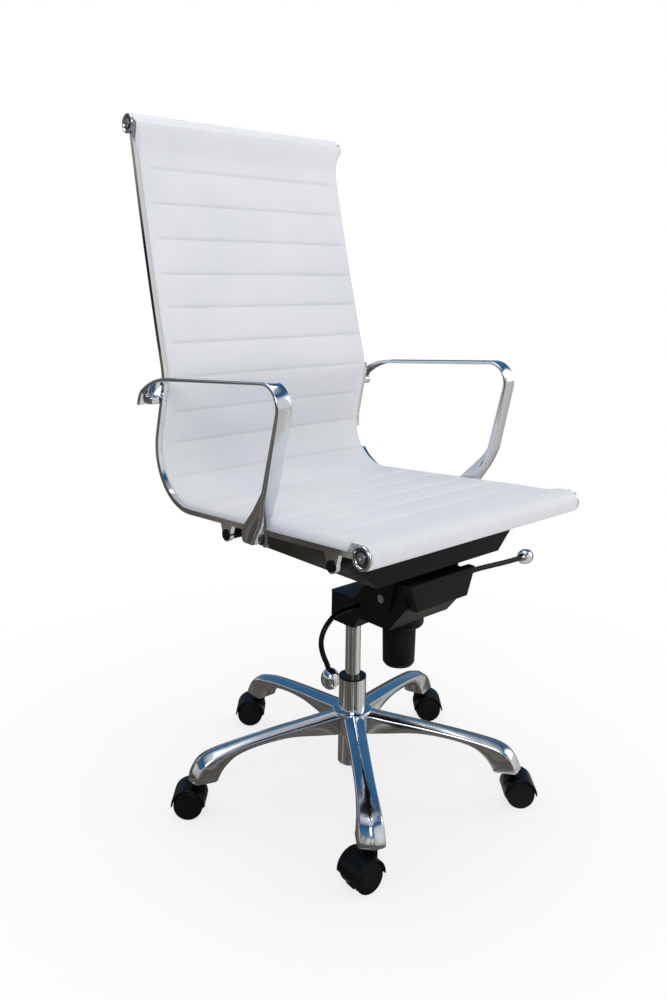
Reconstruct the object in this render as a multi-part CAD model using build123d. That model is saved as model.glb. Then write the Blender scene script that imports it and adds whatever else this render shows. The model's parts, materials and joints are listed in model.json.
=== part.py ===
from math import atan2, cos, degrees, hypot, radians, sin, tan
from build123d import *
import os

os.makedirs("parts", exist_ok=True)

# ---------------------------------------------------------------------------
# Frame: millimetres, +Z up, -Y to the front, origin on the column axis at the floor.
# "right" is the sitter's right-hand side, at -X.
# ---------------------------------------------------------------------------

# fits
RUN_GAP = 0.05           # radial gap of a running fit
CLEAR = 0.4              # gap between pieces that must not touch

# star base
LEG_COUNT = 5
BASE_RADIUS = 285.0      # column axis to caster axis
BASE_TURN = -37.4        # first leg's heading, turned from the front
SOCKET_BOTTOM = 62.0     # height of the leg ends' lower face
HUB_TOP = 142.0
HUB_BOTTOM = 98.0
HUB_RADIUS = 38.0
LEG_WALL = 4.0
LEG_DRAWN = 285.0        # base radius the leg's stations are drawn for
LEG_ROOT = 70.0          # legs of other sizes stretch beyond this radius

# column
COLUMN_RADIUS = 25.0
COLUMN_WALL = 2.0
COLUMN_BOTTOM = 40.0
COLUMN_TOP = 198.0
BUSH_FLANGE = 3.0
BUSH_LENGTH = 52.0
CYLINDER_RADIUS = 14.0
CYLINDER_BORE = 11.0
CYLINDER_BOTTOM = 142.0
CYLINDER_TOP = 338.0
ROD_RADIUS = 5.0
BUTTON_RISE = 8.0
PISTON_BOTTOM = 166.0
PISTON_HEIGHT = 8.0
GLAND_HEIGHT = 10.0

# casters
WHEEL_RADIUS = 25.0
WHEEL_WIDTH = 18.0
WHEEL_RIM_ROUND = 5.0
WEB_WIDTH = 13.0
TRAIL = 18.0             # stem axis to wheel axis
HOOD_GAP = 1.3
HOOD_WALL = 2.6
STEM_RADIUS = 5.5
STEM_RISE = 30.0
SLEEVE_WALL = 1.5
AXLE_RADIUS = 3.0
CASTER_HEADINGS = (175.0, -42.0, -42.0, 138.0, 138.0)   # way each wheel axis trails, from +X

# mechanism
HOUSING_HALF = 34.0
HOUSING_REAR = 26.0
HOUSING_BOTTOM = 308.0
HOUSING_REAR_TOP = 362.0
HOUSING_WALL = 3.0
COVER_FRONT = -212.0
COVER_REAR = -196.0
BOLT_RADIUS = 6.0
COVER_HALF_TOP = 82.0
COVER_HALF_BOTTOM = 62.0
COVER_BOTTOM = 396.0
COVER_TOP = 441.0
TILT_Y = -147.0
TILT_Z = 404.0
TILT_AXLE_RADIUS = 7.0
CHEEK_X = 74.0           # inner face of the tray's cheeks
CHEEK_THICK = 5.0
CHEEK_RADIUS = 22.0
KNOB_Y = -114.0
KNOB_TOP = 330.0
KNOB_HEIGHT = 68.0
KNOB_RADIUS = 29.0
CUP_RADIUS = 42.0
CUP_BOTTOM = 333.0
CUP_TOP = 352.0
SPRING_TOP = 386.0

# levers
LIFT_SHAFT_Y = -46.0
LIFT_SHAFT_Z = 352.0
LEVER_RADIUS = 4.5
LOCK_SHAFT_Y = -183.0
LOCK_SHAFT_Z = 420.0
LOCK_PIVOT_X = 60.0

# seat frame
RAIL_OUTER = 252.0
RAIL_WIDTH = 7.5
RAIL_DEPTH = 9.0
SEAT_SLOPE = 3.15        # rails rise this much to the front, degrees
CORNER_CENTRE = (157.4, 617.2)
CORNER_RADIUS = 102.0
LOWER_BACK_LEAN = 102.4  # heading of the lower back, degrees
LOWER_BACK_LENGTH = 81.2
FACE_SLOPE = 4.0         # the padded face rises a little more
FACE_CENTRE = (165.0, 615.0)
FACE_RADIUS = 85.0
FACE_LOWER_LENGTH = 85.0
FACE_HEIGHT = 10.0       # padded face over the rail's line in the back
LUMBAR_RADIUS = 90.0
LUMBAR_TURN = 28.2
BACK_RADIUS = 6700.0
BACK_TURN = 3.79
FRONT_TUBE = (-279.0, 540.0)
TOP_TUBE = (352.0, 1199.0)
SEAT_FRONT = -268.0
TUBE_RADIUS = 14.0
TUBE_WALL = 2.0
BOSS_RADIUS = TUBE_RADIUS + 3.0
BOSS_WIDTH = 9.0
CAP_RADIUS = TUBE_RADIUS + 4.5
CAP_THICK = 4.5
CAP_RECESS = 2.5
SLING_THICK = 11.0
ROLL_RADIUS = TUBE_RADIUS + 5.0
SPREADER_HEIGHT = 850.0
SLOT_DEPTH = 4.0
SLOT_WIDTH = 3.4

# tray and cross tubes
TRAY_BOTTOM = 453.0
TRAY_FLAT_HALF = RAIL_OUTER - 102.0
TRAY_WING_HALF = RAIL_OUTER - 36.0
TRAY_SLOPE = 43.0
TRAY_THICK = 3.0
TRAY_FRONT = -206.0
TRAY_REAR = 95.0
CROSS_RADIUS = 9.0
CROSS_STAND = 2.0        # how far the cross tubes stand out of the rails
CROSS_FRONT = (-214.0, 512.0)
CROSS_REAR = (44.0, 500.0)
LUG_HALF = 17.0

# arms
ARM_OUTER = RAIL_OUTER + 34.0
ARM_WIDTH = 29.0
ARM_THICK = 7.0
ARM_FOOT_TOP = (-95.5, 600.0)
ARM_UPRIGHT_TOP = (-125.5, 722.0)
ARM_FRONT_BEND = 36.0
ARM_TOP_SLOPE = 4.3
ARM_TOP_LENGTH = 268.0
ARM_REAR_BEND = 150.0
ARM_REAR_TURN = 30.0
ARM_HOOK_BEND = 34.0
ARM_FOOT_Y = -44.0
ARM_FOOT_LENGTH = 46.0
ARM_FOOT_DROP = 94.0     # underside of the foot below the blade's lower end
ARM_FOOT_HEIGHT = 18.0


def side_plane(x):
    """Plane across the chair at x; its own axes are y and z."""
    return Plane(origin=(x, 0, 0), x_dir=(0, 1, 0), z_dir=(1, 0, 0))


def slab(outline, x_from, x_to):
    """An outline drawn in (y, z), made solid between two places along x."""
    return extrude(side_plane(x_from) * outline, x_to - x_from, dir=(1, 0, 0))


def band(one, other):
    """Face between two lines that run side by side."""
    edges = [*one.edges(), *other.edges(), Line(one @ 0, other @ 0).edge(), Line(one @ 1, other @ 1).edge()]
    return make_face(edges)


def rod_x(radius, y, z, x_from, x_to):
    """A round bar along x."""
    plane = Plane(origin=(x_from, y, z), x_dir=(0, 1, 0), z_dir=(1, 0, 0))
    return extrude(plane * Circle(radius), x_to - x_from)


def rod_z(radius, x, y, z_from, z_to):
    """A round bar along z."""
    return Pos(x, y, z_from) * extrude(Circle(radius), z_to - z_from)


def ring_z(outer, inner, z_from, z_to):
    """A sleeve on the column axis."""
    return rod_z(outer, 0, 0, z_from, z_to) - rod_z(inner, 0, 0, z_from, z_to)


def both_sides(shape):
    """A shape at -X and its mirror image at +X."""
    return [shape, mirror(shape, about=Plane.YZ)]


# ---------------------------------------------------------------------------
# Star base and column
# ---------------------------------------------------------------------------

def leg_section(ridge, floor, half, drop, wall=0.0):
    """Five-cornered wire across a leg: ridge and floor are its top and bottom points as (radius, height)."""
    length = hypot(floor[0] - ridge[0], floor[1] - ridge[1])
    down = ((floor[0] - ridge[0]) / length, (floor[1] - ridge[1]) / length)
    top = (ridge[0] + down[0] * wall, ridge[1] + down[1] * wall)
    chine = (top[0] + down[0] * drop, top[1] + down[1] * drop)
    side = half - wall
    points = [
        (floor[0], -side, floor[1]),
        (chine[0], -side, chine[1]),
        (top[0], 0, top[1]),
        (chine[0], side, chine[1]),
        (floor[0], side, floor[1]),
    ]
    return Wire(Polyline(*[Vector(*p) for p in points], close=True).edges())


LEG_STATIONS = [
    # ridge (radius, height), floor (radius, height), half width, ridge height over the side edge
    ((12.0, 141.0), (12.0, 99.0), 19.0, 6.0),
    ((40.0, 138.5), (40.0, 101.0), 18.5, 6.0),
    ((70.0, 135.0), (70.0, 104.5), 18.0, 6.0),
    ((125.0, 129.0), (125.0, 111.0), 17.0, 5.5),
    ((185.0, 121.5), (182.0, 111.0), 16.5, 5.0),
    ((238.0, 114.0), (226.0, 98.0), 18.0, 5.5),
    ((276.0, 105.5), (245.0, 83.0), 20.0, 7.0),
    ((297.0, 90.0), (254.0, 71.0), 21.5, 9.0),
    ((306.0, 62.0), (258.0, 62.0), 22.5, 10.0),
]


def leg_reach(point):
    """A station's point, moved out with the base's radius."""
    radius, height = point
    if radius > LEG_ROOT:
        radius = LEG_ROOT + (radius - LEG_ROOT) * (BASE_RADIUS - LEG_ROOT) / (LEG_DRAWN - LEG_ROOT)
    return radius, height


def leg():
    """One leg, heading along +X."""
    stations = [(leg_reach(s[0]), leg_reach(s[1]), s[2], s[3]) for s in LEG_STATIONS]
    outer = Solid.make_loft([leg_section(*s) for s in stations])
    pocket_stations = [(s[0], (s[1][0], s[1][1] - 6.0), s[2], s[3], LEG_WALL) for s in stations[2:6]]
    pocket = Solid.make_loft([leg_section(*s) for s in pocket_stations])
    facet = Plane(origin=(20.0, 0, HUB_TOP), x_dir=(cos(radians(8.0)), 0, -sin(radians(8.0))),
                  z_dir=(sin(radians(8.0)), 0, cos(radians(8.0))))
    wedge = extrude(facet * Polygon((0, -18.0), (56.0, 0), (0, 18.0), align=None), 9.0, dir=(0, 0, -1))
    return outer - pocket + wedge


def star_base():
    hub = rod_z(HUB_RADIUS, 0, 0, HUB_BOTTOM, HUB_TOP - 7.0)
    crown = Pos(0, 0, HUB_TOP - 7.0) * Cone(HUB_RADIUS, HUB_RADIUS - 8.0, 7.0,
                                            align=(Align.CENTER, Align.CENTER, Align.MIN))
    body = hub + crown
    first = leg()
    for i in range(LEG_COUNT):
        body += Rot(0, 0, leg_heading(i)) * first
    body -= rod_z(COLUMN_RADIUS, 0, 0, 0, HUB_TOP + 20)
    for i in range(LEG_COUNT):
        x, y = caster_place(i)
        body -= rod_z(STEM_RADIUS + RUN_GAP + SLEEVE_WALL, x, y, 0, SOCKET_BOTTOM + STEM_RISE + 1)
    return body


def leg_heading(i):
    """Way a leg points, in degrees from +X."""
    return -90.0 + BASE_TURN + i * 360.0 / LEG_COUNT


def caster_place(i):
    a = radians(leg_heading(i))
    return BASE_RADIUS * cos(a), BASE_RADIUS * sin(a)


def caster_sleeves():
    sleeves = []
    for i in range(LEG_COUNT):
        x, y = caster_place(i)
        outer = rod_z(STEM_RADIUS + RUN_GAP + SLEEVE_WALL, x, y, SOCKET_BOTTOM, SOCKET_BOTTOM + STEM_RISE + 1)
        bore = rod_z(STEM_RADIUS + RUN_GAP, x, y, SOCKET_BOTTOM, SOCKET_BOTTOM + STEM_RISE + 0.5)
        sleeves.append(outer - bore)
    return Compound(sleeves)


def column_outer_tube():
    """Outer tube of the lift, closed at the bottom but for the rod's hole."""
    tube = ring_z(COLUMN_RADIUS, COLUMN_RADIUS - COLUMN_WALL, COLUMN_BOTTOM, COLUMN_TOP)
    floor = ring_z(COLUMN_RADIUS - COLUMN_WALL, ROD_RADIUS + RUN_GAP, COLUMN_BOTTOM + 2, COLUMN_BOTTOM + 7)
    return tube + floor


def column_guide_bush():
    inner = CYLINDER_RADIUS + RUN_GAP
    sleeve = ring_z(COLUMN_RADIUS - COLUMN_WALL, inner, COLUMN_TOP - BUSH_LENGTH, COLUMN_TOP)
    flange = ring_z(COLUMN_RADIUS, inner, COLUMN_TOP, COLUMN_TOP + BUSH_FLANGE)
    return sleeve + flange


def thrust_washer():
    return ring_z(13.0, ROD_RADIUS, COLUMN_BOTTOM + 7 + RUN_GAP, COLUMN_BOTTOM + 11)


def piston_rod():
    shaft = rod_z(ROD_RADIUS, 0, 0, COLUMN_BOTTOM - 2, PISTON_BOTTOM)
    piston = rod_z(CYLINDER_BORE - RUN_GAP, 0, 0, PISTON_BOTTOM, PISTON_BOTTOM + PISTON_HEIGHT)
    return shaft + piston


def rod_clip():
    return ring_z(10.0, ROD_RADIUS, COLUMN_BOTTOM + 0.2, COLUMN_BOTTOM + 2 - RUN_GAP)


def gas_cylinder():
    barrel = rod_z(CYLINDER_RADIUS, 0, 0, CYLINDER_BOTTOM, CYLINDER_TOP)
    barrel = chamfer(barrel.edges().group_by(Axis.Z)[-1], 1.0)
    bore = rod_z(CYLINDER_BORE, 0, 0, CYLINDER_BOTTOM + GLAND_HEIGHT, CYLINDER_TOP - 22)
    gland = rod_z(ROD_RADIUS + RUN_GAP, 0, 0, CYLINDER_BOTTOM, CYLINDER_BOTTOM + GLAND_HEIGHT)
    valve_hole = rod_z(4.0 + RUN_GAP, 0, 0, CYLINDER_TOP - 22, CYLINDER_TOP)
    return barrel - bore - gland - valve_hole


def valve_button():
    stem = rod_z(4.0, 0, 0, CYLINDER_TOP - 12, CYLINDER_TOP + BUTTON_RISE)
    return fillet(stem.edges().group_by(Axis.Z)[-1], 1.5)


# ---------------------------------------------------------------------------
# Casters: built at the origin with the wheels trailing along +X, then placed
# ---------------------------------------------------------------------------

def place_caster(i, shape):
    x, y = caster_place(i)
    return Pos(x, y, 0) * Rot(0, 0, CASTER_HEADINGS[i]) * shape


def wheel_plane(y):
    return Plane(origin=(TRAIL, y, WHEEL_RADIUS), x_dir=(1, 0, 0), z_dir=(0, 1, 0))


def caster_hood():
    inner = WHEEL_RADIUS + HOOD_GAP
    outer = inner + HOOD_WALL
    half = WEB_WIDTH / 2 + WHEEL_WIDTH + 1.0
    shell = extrude(wheel_plane(-half) * (Circle(outer) - Circle(inner)), 2 * half)
    keep = Pos(TRAIL, 0, WHEEL_RADIUS + 40) * Box(90, 90, 80)
    shell = shell & keep
    shell = fillet(shell.edges().filter_by(GeomType.CIRCLE).sort_by(SortBy.RADIUS)[-2:], 2.0)
    web = extrude(wheel_plane(-WEB_WIDTH / 2) * Circle(inner + 0.5), WEB_WIDTH)
    web -= Pos(TRAIL, 0, 0) * Box(90, 90, 2 * 7.0)
    neck = rod_z(11.0, 0, 0, 32.0, SOCKET_BOTTOM - 0.5)
    neck -= extrude(wheel_plane(-30) * Circle(inner), 30 - WEB_WIDTH / 2)
    neck -= extrude(wheel_plane(WEB_WIDTH / 2) * Circle(inner), 30)
    hood = shell + web + neck
    hood -= rod_z(STEM_RADIUS, 0, 0, 40.0, SOCKET_BOTTOM)
    hood -= extrude(wheel_plane(-WEB_WIDTH) * Circle(AXLE_RADIUS), 2 * WEB_WIDTH)
    return hood


def caster_stem():
    stem = rod_z(STEM_RADIUS, 0, 0, 40.0, SOCKET_BOTTOM + STEM_RISE)
    return chamfer(stem.edges().group_by(Axis.Z)[-1], 1.5)


def caster_axle():
    half = WEB_WIDTH / 2 + WHEEL_WIDTH - 3.0
    return extrude(wheel_plane(-half) * Circle(AXLE_RADIUS), 2 * half)


def caster_wheel(side):
    """Twin wheel on side +1 or -1: tyre tread, thin outer disc, hub on the axle."""
    start = WEB_WIDTH / 2 + CLEAR
    tyre = extrude(wheel_plane(start) * Circle(WHEEL_RADIUS), WHEEL_WIDTH)
    tyre = fillet(tyre.edges().sort_by(Axis.Y)[-1], WHEEL_RIM_ROUND)
    tyre = fillet(tyre.edges().sort_by(Axis.Y)[0], 1.5)
    hollow = extrude(wheel_plane(start) * (Circle(WHEEL_RADIUS - 4) - Circle(AXLE_RADIUS + 4)), WHEEL_WIDTH - 5)
    bore = extrude(wheel_plane(start) * Circle(AXLE_RADIUS + RUN_GAP), WHEEL_WIDTH - 2.5)
    wheel = tyre - hollow - bore
    if side < 0:
        wheel = mirror(wheel, about=Plane.XZ)
    return wheel


# ---------------------------------------------------------------------------
# Mechanism under the seat
# ---------------------------------------------------------------------------

def housing_outline(inset=0.0):
    """Side outline of the housing's narrow middle, as (y, z) points."""
    return [
        (HOUSING_REAR - inset, HOUSING_BOTTOM + inset),
        (-34.0, HOUSING_BOTTOM + inset),
        (-64.0, CUP_TOP + inset),
        (-158.0, CUP_TOP + inset),
        (COVER_REAR + inset, COVER_BOTTOM + inset),
        (COVER_REAR + inset, COVER_TOP - 5.0 - inset),
        (-152.0, COVER_TOP - 5.0 - inset),
        (-62.0, 392.0 - inset),
        (-34.0, HOUSING_REAR_TOP - inset),
        (HOUSING_REAR - inset, HOUSING_REAR_TOP - inset),
    ]


def lock_slot():
    """Room in the housing's left side for the lock lever and its pin."""
    slot = Pos(LOCK_PIVOT_X - 7.0, LOCK_SHAFT_Y, LOCK_SHAFT_Z - 6.0) * Box(
        40.0, 2 * LEVER_RADIUS + 1.0, 17.0, align=(Align.MIN, Align.CENTER, Align.MIN))
    return slot + lock_pin(RUN_GAP)


def lock_pin(gap=0.0):
    plane = Plane(origin=(LOCK_PIVOT_X, LOCK_SHAFT_Y - 9.0 - gap, LOCK_SHAFT_Z), x_dir=(1, 0, 0), z_dir=(0, 1, 0))
    return extrude(plane * Circle(2.5 + gap), 18.0 + 2 * gap)


def mechanism_housing():
    half = HOUSING_HALF
    body = slab(Polygon(*housing_outline(), align=None), -half, half)
    wide = [
        (-92.0, CUP_TOP), (-158.0, CUP_TOP), (COVER_REAR, COVER_BOTTOM), (COVER_REAR, COVER_TOP - 5.0),
        (-152.0, COVER_TOP - 5.0), (-92.0, 408.0),
    ]
    wide_half = CHEEK_X - 1.0
    body += slab(Polygon(*wide, align=None), -wide_half, wide_half)
    body = fillet(body.edges().filter_by(Axis.Z).group_by(Axis.Y)[-1], 6.0)
    body -= slab(Polygon(*housing_outline(HOUSING_WALL), align=None), HOUSING_WALL - half, half - HOUSING_WALL)
    body += rod_z(CYLINDER_RADIUS + 7.0, 0, 0, HOUSING_BOTTOM - 8.0, CYLINDER_TOP - 8.0)
    body -= rod_z(CYLINDER_RADIUS, 0, 0, 200, CYLINDER_TOP + 5)
    body -= rod_x(TILT_AXLE_RADIUS, TILT_Y, TILT_Z, -100, 100)
    body -= rod_x(LEVER_RADIUS + RUN_GAP, LIFT_SHAFT_Y, LIFT_SHAFT_Z, -60, 0)
    body -= rod_z(BOLT_RADIUS + CLEAR, 0, KNOB_Y, 300, CUP_TOP + 10)
    return body - lock_slot()


def housing_front_cover():
    """Moulded cover in front of the housing, a shallow box wider at the top."""
    low = COVER_BOTTOM - 2.0
    face = Polygon((-COVER_HALF_BOTTOM, low), (COVER_HALF_BOTTOM, low),
                   (COVER_HALF_TOP, COVER_TOP), (-COVER_HALF_TOP, COVER_TOP), align=None)
    plane = Plane(origin=(0, COVER_FRONT, 0), x_dir=(1, 0, 0), z_dir=(0, -1, 0))
    depth = COVER_REAR - COVER_FRONT
    cover = extrude(plane * face, depth, dir=(0, 1, 0))
    cover = fillet(cover.edges().filter_by(GeomType.LINE).group_by(Axis.Y)[0], 3.0)
    return cover


def spring_cup():
    cup = rod_z(CUP_RADIUS, 0, KNOB_Y, CUP_BOTTOM, CUP_TOP)
    cup = fillet(cup.edges().group_by(Axis.Z)[0], 6.0)
    return cup - rod_z(BOLT_RADIUS + CLEAR, 0, KNOB_Y, CUP_BOTTOM, CUP_TOP)


def tension_bolt():
    """Bolt through the spring, with the round plate that holds the spring down."""
    shaft = rod_z(BOLT_RADIUS, 0, KNOB_Y, KNOB_TOP - 40.0, SPRING_TOP + CLEAR)
    return shaft + rod_z(17.0, 0, KNOB_Y, SPRING_TOP + CLEAR, SPRING_TOP + 5.0)


def tension_spring():
    """The wound spring's block, as a sleeve round the bolt."""
    outer = rod_z(17.0, 0, KNOB_Y, CUP_TOP + HOUSING_WALL, SPRING_TOP)
    return outer - rod_z(12.0, 0, KNOB_Y, CUP_TOP + HOUSING_WALL, SPRING_TOP)


def tension_knob():
    """Ribbed knob, a little wider at the top, with a rounded lower end."""
    base = KNOB_TOP - KNOB_HEIGHT
    outline = Polyline((0, base), (KNOB_RADIUS - 5.0, base), (KNOB_RADIUS - 1.5, base + 5.0),
                       (KNOB_RADIUS, KNOB_TOP), (0, KNOB_TOP), close=True)
    knob = Pos(0, KNOB_Y, 0) * revolve(Plane.XZ * make_face(outline), Axis.Z)
    ribs = 20
    for i in range(ribs):
        a = radians(i * 360.0 / ribs)
        reach = KNOB_RADIUS + 0.8
        knob -= rod_z(1.8, reach * cos(a), KNOB_Y + reach * sin(a), base + 8.0, KNOB_TOP - 3.0)
    return knob - rod_z(BOLT_RADIUS, 0, KNOB_Y, KNOB_TOP - 40.0, KNOB_TOP)


def tilt_axle():
    return rod_x(TILT_AXLE_RADIUS, TILT_Y, TILT_Z, -(CHEEK_X + CHEEK_THICK + 2), CHEEK_X + CHEEK_THICK + 2)


LIFT_LEVER_PATH = [
    (-72.0, LIFT_SHAFT_Y, LIFT_SHAFT_Z), (-98.0, LIFT_SHAFT_Y, LIFT_SHAFT_Z - 9.0),
    (-113.0, LIFT_SHAFT_Y, LIFT_SHAFT_Z - 24.0), (-121.0, LIFT_SHAFT_Y - 2, LIFT_SHAFT_Z - 43.0),
    (-118.0, LIFT_SHAFT_Y - 7, LIFT_SHAFT_Z - 68.0), (-112.0, LIFT_SHAFT_Y - 13, LIFT_SHAFT_Z - 92.0),
]
LIFT_BALL = (-111.0, LIFT_SHAFT_Y - 15, LIFT_SHAFT_Z - 104.0)
BALL_RADIUS = 16.0
LOCK_LEVER_PATH = [
    (LOCK_PIVOT_X, LOCK_SHAFT_Y, LOCK_SHAFT_Z), (100.0, LOCK_SHAFT_Y, LOCK_SHAFT_Z),
    (170.0, LOCK_SHAFT_Y - 1, LOCK_SHAFT_Z - 2.5), (246.0, LOCK_SHAFT_Y - 2, LOCK_SHAFT_Z - 5.0),
]
LOCK_BULB = (260.0, LOCK_SHAFT_Y - 2, LOCK_SHAFT_Z - 5.5)


def swept_rod(path, radius):
    """A round rod along a wire."""
    section = Plane(origin=path @ 0, z_dir=path % 0) * Circle(radius)
    return sweep(section, path=path)


def height_lever():
    """Shaft through the housing, bent down outside it, with an inner finger over the valve button."""
    straight = Line((20.0, LIFT_SHAFT_Y, LIFT_SHAFT_Z), LIFT_LEVER_PATH[0])
    bend = Spline(*LIFT_LEVER_PATH, tangents=[(-1, 0, 0), (0.1, -0.25, -1)])
    lever = swept_rod(Wire([straight.edge(), bend.edge()]), LEVER_RADIUS)
    finger_z = CYLINDER_TOP + BUTTON_RISE + CLEAR
    finger = Box(8.0, 2.0 - LIFT_SHAFT_Y, LIFT_SHAFT_Z + 2.0 - finger_z, align=(Align.CENTER, Align.MIN, Align.MIN))
    return lever + Pos(0, LIFT_SHAFT_Y, finger_z) * finger


def height_lever_ball():
    ball = Pos(*LIFT_BALL) * scale(Sphere(BALL_RADIUS), (1, 1, 1.15))
    return ball - height_lever()


def lock_lever():
    straight = Line(LOCK_LEVER_PATH[0], LOCK_LEVER_PATH[1])
    bend = Spline(*LOCK_LEVER_PATH[1:], tangents=[(1, 0, 0), (1, 0, 0)])
    return swept_rod(Wire([straight.edge(), bend.edge()]), LEVER_RADIUS) + lock_pin()


def lock_lever_bulb():
    bulb = Pos(*LOCK_BULB) * scale(Sphere(13.5), (1.35, 1, 1))
    return bulb - lock_lever()


# ---------------------------------------------------------------------------
# Seat frame
# ---------------------------------------------------------------------------

def chair_line(offset, slope, centre, radius, lower_length):
    """Side line of the chair in (y, z), seat front to top of the back; radius and offset are towards the sitter."""
    tilt = radians(slope)
    bend = radius - offset
    low = (centre[0] - bend * sin(tilt), centre[1] - bend * cos(tilt))
    front = (SEAT_FRONT, low[1] + (low[0] - SEAT_FRONT) * tan(tilt))
    seat = Line(front, low)
    corner = JernArc(seat @ 1, seat % 1, bend, LOWER_BACK_LEAN + slope)
    lower = PolarLine(corner @ 1, lower_length, LOWER_BACK_LEAN)
    lumbar = JernArc(lower @ 1, lower % 1, LUMBAR_RADIUS + offset, -LUMBAR_TURN)
    back = JernArc(lumbar @ 1, lumbar % 1, BACK_RADIUS - offset, BACK_TURN)
    return Wire([seat.edge(), corner.edge(), lower.edge(), lumbar.edge(), back.edge()])


def frame_line(offset=0.0):
    """Line of the side rails."""
    return chair_line(offset, SEAT_SLOPE, CORNER_CENTRE, CORNER_RADIUS, LOWER_BACK_LENGTH)


def face_line(depth=0.0):
    """Line of the padded face, moved away from the sitter by depth."""
    offset = FACE_HEIGHT - depth
    return chair_line(offset, FACE_SLOPE, FACE_CENTRE, FACE_RADIUS + FACE_HEIGHT, FACE_LOWER_LENGTH)


def seat_height(y):
    """Height of the rail line over a point of the seat's straight part."""
    slope = radians(SEAT_SLOPE)
    low_y = CORNER_CENTRE[0] - CORNER_RADIUS * sin(slope)
    low_z = CORNER_CENTRE[1] - CORNER_RADIUS * cos(slope)
    return low_z + (low_y - y) * tan(slope)


def back_point(z):
    """Point of the rail line in the upper back at a height, with the line's lean from upright in degrees."""
    line = frame_line()
    t = 0.99
    while (line @ t).Y > z:
        t -= 0.002
    return line @ t, degrees(atan2((line % t).X, (line % t).Y))


def side_rail():
    """The sitter's right rail: bar with round ends for the cross tubes, lugs below and a groove for the sling."""
    inner = RAIL_WIDTH - RAIL_OUTER
    rail = slab(band(frame_line(-RAIL_DEPTH / 2), frame_line(RAIL_DEPTH / 2)), -RAIL_OUTER, inner)
    for y, z in (FRONT_TUBE, TOP_TUBE):
        rail += rod_x(BOSS_RADIUS, y, z, -RAIL_OUTER, BOSS_WIDTH - RAIL_OUTER)
    for y, z in (CROSS_FRONT, CROSS_REAR):
        top = seat_height(y)
        lug = Polygon((y - LUG_HALF, top), (y + LUG_HALF, top), (y + 10.0, z), (y - 10.0, z), align=None)
        rail += slab(lug, -RAIL_OUTER, inner)
        rail += rod_x(CROSS_RADIUS + 2.5, y, z, -RAIL_OUTER, inner)
    for y, z in (FRONT_TUBE, TOP_TUBE):
        rail -= rod_x(TUBE_RADIUS, y, z, -RAIL_OUTER, 0)
    for y, z in (CROSS_FRONT, CROSS_REAR):
        rail -= rod_x(CROSS_RADIUS, y, z, -RAIL_OUTER, 0)
    groove = band(frame_line(-SLOT_WIDTH / 2), frame_line(SLOT_WIDTH / 2))
    rail -= slab(groove, inner - SLOT_DEPTH, inner)
    for bolt in arm_bolt_list():
        rail -= bolt
    return rail


def cross_tube(place):
    y, z = place
    outer = rod_x(TUBE_RADIUS, y, z, -RAIL_OUTER, RAIL_OUTER)
    return outer - rod_x(TUBE_RADIUS - TUBE_WALL, y, z, -RAIL_OUTER, RAIL_OUTER)


def end_cap(place):
    """Round cap of the right rail's end: disc with a screw recess, and a spigot in the tube."""
    y, z = place
    outer = -RAIL_OUTER - CAP_THICK
    disc = rod_x(CAP_RADIUS, y, z, outer, -RAIL_OUTER)
    disc = fillet(disc.edges().sort_by(Axis.X)[0], 2.0)
    disc -= rod_x(CAP_RADIUS - 5.5, y, z, outer, outer + CAP_RECESS)
    disc += rod_x(TUBE_RADIUS - TUBE_WALL, y, z, -RAIL_OUTER, 20.0 - RAIL_OUTER)
    return disc - cap_screw(place)


def cap_screw(place):
    y, z = place
    face = CAP_RECESS - RAIL_OUTER - CAP_THICK
    top = face - CAP_RECESS
    head = rod_x(8.0, y, z, top, face)
    head = chamfer(head.edges().sort_by(Axis.X)[0], 0.8)
    plane = Plane(origin=(top, y, z), x_dir=(0, 1, 0), z_dir=(1, 0, 0))
    head -= extrude(plane * RegularPolygon(3.5, 6), CAP_RECESS - 0.6)
    return head + rod_x(3.0, y, z, face, face + 24.0)


def end_caps():
    caps = []
    for place in (FRONT_TUBE, TOP_TUBE):
        caps += both_sides(end_cap(place))
    return Compound(caps)


def cap_screws():
    screws = []
    for place in (FRONT_TUBE, TOP_TUBE):
        screws += both_sides(cap_screw(place))
    return Compound(screws)


def back_spreader():
    """Flat bowed bar behind the sling, from rail to rail."""
    centre, lean = back_point(SPREADER_HEIGHT)
    half = RAIL_OUTER - RAIL_WIDTH
    plane = Plane(origin=(0, centre.X, centre.Y), x_dir=(1, 0, 0), z_dir=(0, sin(radians(lean)), cos(radians(lean))))
    front = ThreePointArc((-half - 10.0, 1.2), (0, 22.5), (half + 10.0, 1.2))
    rear = ThreePointArc((-half - 10.0, 8.2), (0, 29.5), (half + 10.0, 8.2))
    bar = extrude(plane * band(front, rear), 12.0, both=True)
    return bar & (Pos(0, centre.X, centre.Y) * Box(2 * half, 200, 200))


def seat_cross_tubes():
    tubes = []
    for y, z in (CROSS_FRONT, CROSS_REAR):
        end = RAIL_OUTER + CROSS_STAND
        tube = rod_x(CROSS_RADIUS, y, z, -end, end)
        tubes.append(tube - rod_x(CROSS_RADIUS - 2.0, y, z, 12.0 - end, end - 12.0))
    return Compound(tubes)


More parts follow.
